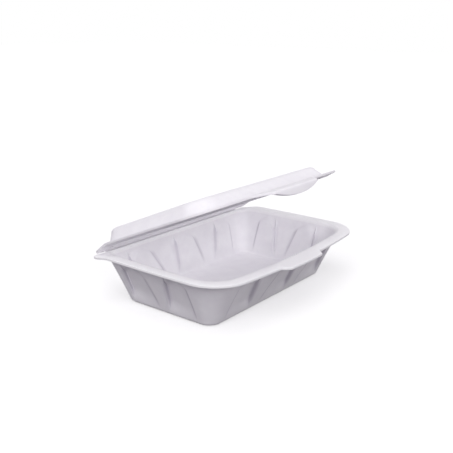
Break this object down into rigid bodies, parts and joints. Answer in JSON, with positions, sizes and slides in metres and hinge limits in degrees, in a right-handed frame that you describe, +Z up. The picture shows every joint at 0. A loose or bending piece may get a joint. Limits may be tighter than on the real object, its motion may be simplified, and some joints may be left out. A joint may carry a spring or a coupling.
{
  "type": "hinged foam meal box",
  "caption": "Rectangular white foam take-away box with a deep fluted tub, a shallow lid on a pressed fold and a tongue latch.",
  "frame": {"origin": "middle of the tub's underside, on the table", "axes": "+X along the fold, +Y from the latch at the front to the fold at the back, +Z up"},
  "size_m": [0.24, 0.166, 0.1187],
  "materials": {
    "foam": "satin white foam skin"
  },
  "bodies": {
    "tub": {"tub": "foam"},
    "lid": {"lid": "foam"}
  },
  "joints": [
    {"name": "lid_fold", "type": "hinge", "parent": "tub", "child": "lid", "pos_m": [0, 0.06925, 0.0467], "axis": [-1, 0, 0], "range_deg": [-23.5, 156.5]}
  ]
}
